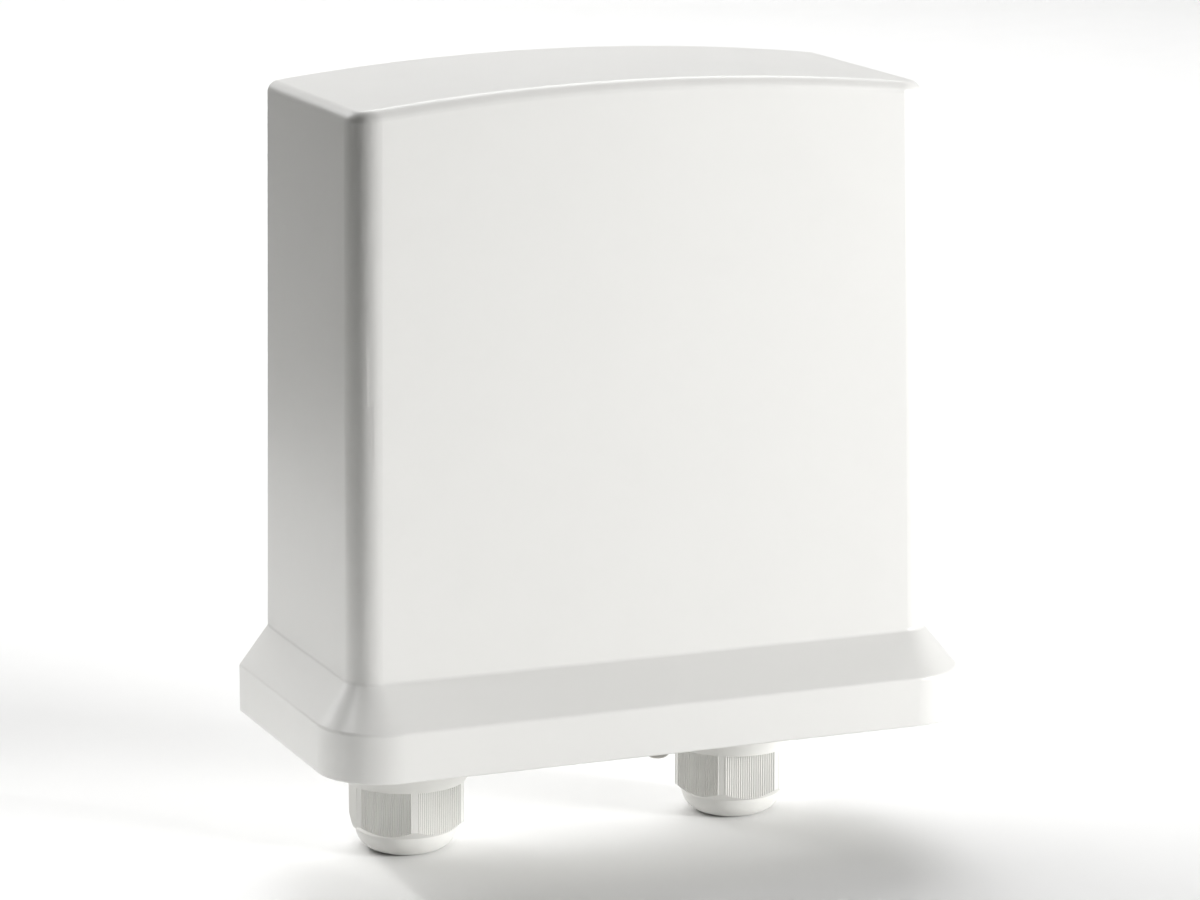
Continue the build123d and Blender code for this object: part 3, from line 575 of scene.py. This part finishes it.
for side in ("left", "right"):
    nut_low, nut_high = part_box("gland_nut_" + side)
    centre_x = (nut_low[0] + nut_high[0]) / 2
    centre_y = (nut_low[1] + nut_high[1]) / 2
    grip_top = nut_high[2] - NUT_RIM_HEIGHT
    turn = Matrix.Rotation(math.radians(-NUT_ANGLE[side] - HALF_FLAT_ANGLE), 4, "Z")
    ribs = grown(
        "grip_ribs_" + side,
        GRIP_RIBS,
        FINISH["gland_nylon"],
        Matrix.Translation((centre_x, centre_y, grip_top)) @ turn,
        {
            "Ribs per Flat": 23,
            "Pitch": 0.595 * MM,
            "Rib Width": 0.42 * MM,
            "Rib Height": 0.24 * MM,
            "Flat Radius": NUT_FLAT_RADIUS,
            "Bevel Radius": NUT_BEVEL_RADIUS,
            "Bevel Slope": NUT_BEVEL / (NUT_CORNER_RADIUS - NUT_BEVEL_RADIUS),
            "Grip Length": NUT_GRIP,
        },
    )
    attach(ribs, "gland_nut_" + side)
    neck_thread = grown(
        "neck_thread_" + side,
        THREAD,
        FINISH["gland_nylon"],
        Matrix.Translation((centre_x, centre_y, nut_high[2] - NECK_THREAD_FOOT)),
        {
            "Turns": 5.5,
            "Root Radius": 10.55 * MM,
            "Ridge": 0.2 * MM,
            "Pitch": 1.5 * MM,
            "Steps per Turn": 48,
        },
    )
    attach(neck_thread, "housing")

screw_low, screw_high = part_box("cover_screw")
screw_centre_x = (screw_low[0] + screw_high[0]) / 2
screw_centre_y = (screw_low[1] + screw_high[1]) / 2
screw_thread = grown(
    "cover_screw_thread",
    THREAD,
    FINISH["stainless_screw"],
    Matrix.Translation((screw_centre_x, screw_centre_y, screw_low[2] + SCREW_THREAD_FOOT)),
    {
        "Turns": 18.0,
        "Root Radius": 1.47 * MM,
        "Ridge": 0.1 * MM,
        "Pitch": 0.5 * MM,
        "Steps per Turn": 20,
    },
)
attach(screw_thread, "cover_screw")


# ---------------------------------------------------------------- heads of the inner screws

RECESS_LENGTH_SHARE = 1.15
RECESS_DEPTH_SHARE = 1.2


def pan_head_tree():
    """Domed head with a cross recess, facing along -Y, copied to the four corners of a rectangle."""
    tree, entry, result = node_tree(
        "pan_heads",
        [
            ("Head Radius", "NodeSocketFloat", 0.0028),
            ("Head Height", "NodeSocketFloat", 0.0018),
            ("Recess Width", "NodeSocketFloat", 0.0006),
            ("Span X", "NodeSocketFloat", 0.05),
            ("Span Z", "NodeSocketFloat", 0.05),
            ("Material", "NodeSocketMaterial", None),
        ],
    )
    value = entry.outputs
    ball = tree.nodes.new("GeometryNodeMeshUVSphere")
    ball.inputs["Segments"].default_value = 32
    ball.inputs["Rings"].default_value = 24
    ball.inputs["Radius"].default_value = 1.0
    dome = tree.nodes.new("GeometryNodeSetPosition")
    tree.links.new(ball.outputs["Mesh"], dome.inputs["Geometry"])
    corner = tree.nodes.new("ShaderNodeSeparateXYZ")
    tree.links.new(tree.nodes.new("GeometryNodeInputPosition").outputs[0], corner.inputs[0])
    flat_z = calculate(tree, "MAXIMUM", corner.outputs[2], 0.0)
    flattened = axis_chain(tree, corner.outputs[0], corner.outputs[1], flat_z)
    tree.links.new(flattened, dome.inputs["Position"])
    sized = tree.nodes.new("GeometryNodeTransform")
    tree.links.new(dome.outputs[0], sized.inputs["Geometry"])
    head_size = axis_chain(tree, value["Head Radius"], value["Head Radius"], value["Head Height"])
    tree.links.new(head_size, sized.inputs["Scale"])
    recess_length = calculate(tree, "MULTIPLY", value["Head Radius"], RECESS_LENGTH_SHARE)
    recess_depth = calculate(tree, "MULTIPLY", value["Head Height"], RECESS_DEPTH_SHARE)
    cut = tree.nodes.new("GeometryNodeMeshBoolean")
    cut.operation = "DIFFERENCE"
    tree.links.new(sized.outputs[0], cut.inputs["Mesh 1"])
    for length, width in ((recess_length, value["Recess Width"]), (value["Recess Width"], recess_length)):
        bar = tree.nodes.new("GeometryNodeMeshCube")
        tree.links.new(axis_chain(tree, length, width, recess_depth), bar.inputs["Size"])
        lift = tree.nodes.new("GeometryNodeTransform")
        tree.links.new(bar.outputs["Mesh"], lift.inputs["Geometry"])
        tree.links.new(axis_chain(tree, 0.0, 0.0, value["Head Height"]), lift.inputs["Translation"])
        tree.links.new(lift.outputs[0], cut.inputs["Mesh 2"])
    upright = tree.nodes.new("GeometryNodeTransform")
    upright.inputs["Rotation"].default_value = (math.pi / 2, 0.0, 0.0)
    tree.links.new(cut.outputs["Mesh"], upright.inputs["Geometry"])
    grid = tree.nodes.new("GeometryNodeMeshGrid")
    grid.inputs["Vertices X"].default_value = 2
    grid.inputs["Vertices Y"].default_value = 2
    tree.links.new(value["Span X"], grid.inputs["Size X"])
    tree.links.new(value["Span Z"], grid.inputs["Size Y"])
    stand = tree.nodes.new("GeometryNodeTransform")
    stand.inputs["Rotation"].default_value = (math.pi / 2, 0.0, 0.0)
    tree.links.new(grid.outputs["Mesh"], stand.inputs["Geometry"])
    copies = tree.nodes.new("GeometryNodeInstanceOnPoints")
    tree.links.new(stand.outputs[0], copies.inputs["Points"])
    tree.links.new(upright.outputs[0], copies.inputs["Instance"])
    finish_tree(tree, entry, result, copies.outputs[0])
    return tree


PAN_HEADS = pan_head_tree()


def screw_set(node, head_radius, head_height, recess):
    """Four pan heads standing for a CAD set of screws, seated where its heads are."""
    set_low, set_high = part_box(node)
    span_x = set_high[0] - set_low[0] - 2 * head_radius
    span_z = set_high[2] - set_low[2] - 2 * head_radius
    middle = ((set_low[0] + set_high[0]) / 2, set_low[1] + head_height, (set_low[2] + set_high[2]) / 2)
    heads = grown(
        node + "_heads",
        PAN_HEADS,
        FINISH["zinc_screw"],
        Matrix.Translation(middle),
        {
            "Head Radius": head_radius,
            "Head Height": head_height,
            "Recess Width": recess,
            "Span X": span_x,
            "Span Z": span_z,
        },
    )
    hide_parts(node)
    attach(heads, "housing")


screw_set("chassis_screws", 2.8 * MM, 1.8 * MM, 0.7 * MM)
screw_set("board_screws", 2.6 * MM, 1.8 * MM, 0.6 * MM)


# ---------------------------------------------------------------- tape on the toroidal winding

def section_points(low_radius, high_radius, half_depth, corner, steps):
    """Rounded rectangle section of the toroid as (radius, depth) points."""
    points = []
    corners = (
        (high_radius - corner, half_depth - corner, 0.0),
        (low_radius + corner, half_depth - corner, 90.0),
        (low_radius + corner, corner - half_depth, 180.0),
        (high_radius - corner, corner - half_depth, 270.0),
    )
    for centre_r, centre_d, start in corners:
        for step in range(steps + 1):
            angle = math.radians(start + 90.0 * step / steps)
            points.append((centre_r + corner * math.cos(angle), centre_d + corner * math.sin(angle)))
    return points


TOROID_HOLE_RADIUS = 13.0 * MM
TOROID_CORNER = 8.6 * MM
TOROID_CORNER_STEPS = 7
TAPE_TURNS = 44
TAPE_STEPS = 8
TAPE_LIFT = 0.34 * MM
TAPE_SKIN = 0.4 * MM
TAPE_WOBBLE = 0.06 * MM
TAPE_SLANT = 0.35
TAPE_EDGE_SHARE = 0.06


def tape_growth(index, place, count, half_depth):
    """Factor by which the tape stands out at one step of the winding and one place of its section."""
    slant = TAPE_SLANT * math.sin(2 * math.pi * place / count)
    phase = (index / TAPE_STEPS + slant) % 1.0
    wobble = TAPE_WOBBLE * math.sin(index * 12.9898 + place * 0.7)
    share = 1.0 - phase if phase > TAPE_EDGE_SHARE else phase / TAPE_EDGE_SHARE
    return 1.0 + (TAPE_LIFT * share + wobble) / half_depth * 0.5


def wrapped_toroid():
    """Toroid wound with overlapping, slightly slanted tape; each turn stands a little over the last."""
    coil_low, coil_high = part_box("transformer_winding")
    centre = [(coil_low[axis] + coil_high[axis]) / 2 for axis in range(3)]
    outer = (coil_high[0] - coil_low[0]) / 2
    half_depth = (coil_high[1] - coil_low[1]) / 2
    section = section_points(
        TOROID_HOLE_RADIUS + TAPE_SKIN,
        outer - TAPE_SKIN,
        half_depth - TAPE_SKIN,
        TOROID_CORNER,
        TOROID_CORNER_STEPS,
    )
    middle_radius = (TOROID_HOLE_RADIUS + outer) / 2
    count = TAPE_TURNS * TAPE_STEPS
    mesh = bmesh.new()
    rings = []
    for index in range(count):
        angle = 2 * math.pi * index / count
        ring = []
        for place, (radius, depth) in enumerate(section):
            grow = tape_growth(index, place, len(section), half_depth)
            out = middle_radius + (radius - middle_radius) * grow
            point = (
                centre[0] + out * math.cos(angle),
                centre[1] + depth * grow,
                centre[2] + out * math.sin(angle),
            )
            ring.append(mesh.verts.new(point))
        rings.append(ring)
    for index in range(count):
        here, following = rings[index], rings[(index + 1) % count]
        for place in range(len(section)):
            after = (place + 1) % len(section)
            mesh.faces.new((here[place], here[after], following[after], following[place]))
    bmesh.ops.recalc_face_normals(mesh, faces=mesh.faces)
    for face in mesh.faces:
        face.smooth = True
    data = bpy.data.meshes.new("toroid_tape")
    mesh.to_mesh(data)
    mesh.free()
    data.materials.append(FINISH["winding_tape"])
    tape = bpy.data.objects.new("toroid_tape", data)
    bpy.context.scene.collection.objects.link(tape)
    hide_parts("transformer_winding")
    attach(tape, "housing")


wrapped_toroid()


# ---------------------------------------------------------------- light, floor and camera

MIDDLE_Y = -0.035
LIGHT_TARGET = (0.0, -0.03, 0.0)
FLOOR_REACH = 5.0
FLOOR_FRONT = -4.0
BACKDROP_START = 1.6
BACKDROP_RADIUS = 1.2
BACKDROP_STEPS = 16
CARD_HEIGHT = 0.8
CARD_FOOT_GAP = 0.03


def hung_lamp(name, light, place, target):
    """Put a light at a place, aimed at a target."""
    lamp = bpy.data.objects.new(name, light)
    lamp.location = place
    lamp.rotation_euler = (Vector(target) - Vector(place)).to_track_quat("-Z", "Y").to_euler()
    bpy.context.scene.collection.objects.link(lamp)


def area_light(name, place, target, size, power):
    """Soft square light aimed at a point."""
    light = bpy.data.lights.new(name, "AREA")
    light.shape = "SQUARE"
    light.size = size
    light.energy = power
    hung_lamp(name, light, place, target)


def bounce_spot(name, place, target, cone, power):
    """Spot that lights a patch of floor, whose bounce fills the object from below."""
    light = bpy.data.lights.new(name, "SPOT")
    light.energy = power
    light.spot_size = math.radians(cone)
    light.spot_blend = 0.6
    light.shadow_soft_size = 0.05
    hung_lamp(name, light, place, target)


def around(azimuth, elevation, distance):
    """Point round the object's middle depth: azimuth 0 is in front of it and 90 to its right."""
    turn, tilt = math.radians(azimuth), math.radians(elevation)
    return (
        distance * math.sin(turn) * math.cos(tilt),
        MIDDLE_Y - distance * math.cos(turn) * math.cos(tilt),
        distance * math.sin(tilt),
    )


def studio_floor(height):
    """Pale floor that curves up into a backdrop behind the object."""
    profile = [(FLOOR_FRONT, 0.0), (BACKDROP_START, 0.0)]
    for step in range(1, BACKDROP_STEPS + 1):
        angle = math.pi / 2 * step / BACKDROP_STEPS
        rise = BACKDROP_RADIUS * (1 - math.cos(angle))
        profile.append((BACKDROP_START + BACKDROP_RADIUS * math.sin(angle), rise))
    profile.append((BACKDROP_START + BACKDROP_RADIUS, FLOOR_REACH))
    verts = [(x, y, height + z) for x in (-FLOOR_REACH, FLOOR_REACH) for y, z in profile]
    count = len(profile)
    faces = [(i, i + count, i + count + 1, i + 1) for i in range(count - 1)]
    mesh = bpy.data.meshes.new("studio_floor")
    mesh.from_pydata(verts, [], faces)
    for polygon in mesh.polygons:
        polygon.use_smooth = True
    floor = bpy.data.objects.new("studio_floor", mesh)
    bpy.context.scene.collection.objects.link(floor)
    material, tree, shader = principled("floor_paper")
    fibre = noise(tree, 40.0, 5.0)
    paper = tree.nodes.new("ShaderNodeRGB")
    paper.outputs[0].default_value = (0.94, 0.94, 0.935, 1.0)
    value = calculate(tree, "ADD", calculate(tree, "MULTIPLY", fibre, 0.02), 0.99)
    tree.links.new(tinted(tree, paper.outputs[0], value), shader.inputs["Base Color"])
    shader.inputs["Roughness"].default_value = 0.9
    shader.inputs["Specular IOR Level"].default_value = 0.1
    mesh.materials.append(material)


def shade_card(name, azimuth, distance, width):
    """Black studio card that takes light off one side; the camera and shadows don't see it."""
    middle = Vector(around(azimuth, 0.0, distance))
    half_w, half_h = width / 2, CARD_HEIGHT / 2
    middle.z = floor_height + CARD_FOOT_GAP + half_h
    turn = Matrix.Rotation(math.radians(azimuth), 4, "Z")
    corners = ((-1, -1), (1, -1), (1, 1), (-1, 1))
    verts = [(half_w * across, 0.0, half_h * up) for across, up in corners]
    mesh = bpy.data.meshes.new(name)
    mesh.from_pydata(verts, [], [(0, 1, 2, 3)])
    mesh.transform(Matrix.Translation(middle) @ turn)
    card = bpy.data.objects.new(name, mesh)
    bpy.context.scene.collection.objects.link(card)
    material, tree, shader = principled(name + "_felt")
    shader.inputs["Base Color"].default_value = (0.01, 0.009, 0.006, 1.0)
    shader.inputs["Roughness"].default_value = 1.0
    mesh.materials.append(material)
    card.visible_camera = False
    card.visible_shadow = False


floor_height = cad_box[0][2]
studio_floor(floor_height)
shade_card("left_card", -58.0, 0.27, 0.55)
shade_card("rear_card", -125.0, 0.36, 0.5)
area_light("key_light", around(46.0, 10.0, 1.7), LIGHT_TARGET, 0.45, 25.2)
area_light("top_light", around(0.0, 88.0, 1.8), LIGHT_TARGET, 1.2, 5.5)
area_light("back_left_light", around(-150.0, 30.0, 1.6), LIGHT_TARGET, 0.8, 9.5)
area_light("floor_light", (0.5, 1.3, 1.7), (0.4, 1.0, -0.1), 1.6, 33.0)
bounce_spot("floor_bounce", (-0.75, 0.0, 0.75), (-0.27, -0.05, floor_height), 24.0, 18.0)

world = bpy.data.worlds.new("studio")
world.use_nodes = True
world.node_tree.nodes["Background"].inputs["Color"].default_value = (1.0, 1.0, 1.0, 1.0)
world.node_tree.nodes["Background"].inputs["Strength"].default_value = 0.01
bpy.context.scene.world = world

azimuth = math.radians(-22.15)
elevation = math.radians(12.12)
level = math.cos(elevation)
back = Vector((math.sin(azimuth) * level, -math.cos(azimuth) * level, math.sin(elevation)))
target = Vector((0.0, MIDDLE_Y, -0.0193))
distance = 1.1156

camera_data = bpy.data.cameras.new("camera")
camera_data.lens = 137.39
camera_data.sensor_width = 36.0
camera = bpy.data.objects.new("camera", camera_data)
camera.location = target + back * distance
camera.rotation_euler = back.to_track_quat("Z", "Y").to_euler()
bpy.context.scene.collection.objects.link(camera)
bpy.context.scene.camera = camera

bpy.context.scene.view_settings.view_transform = "Standard"
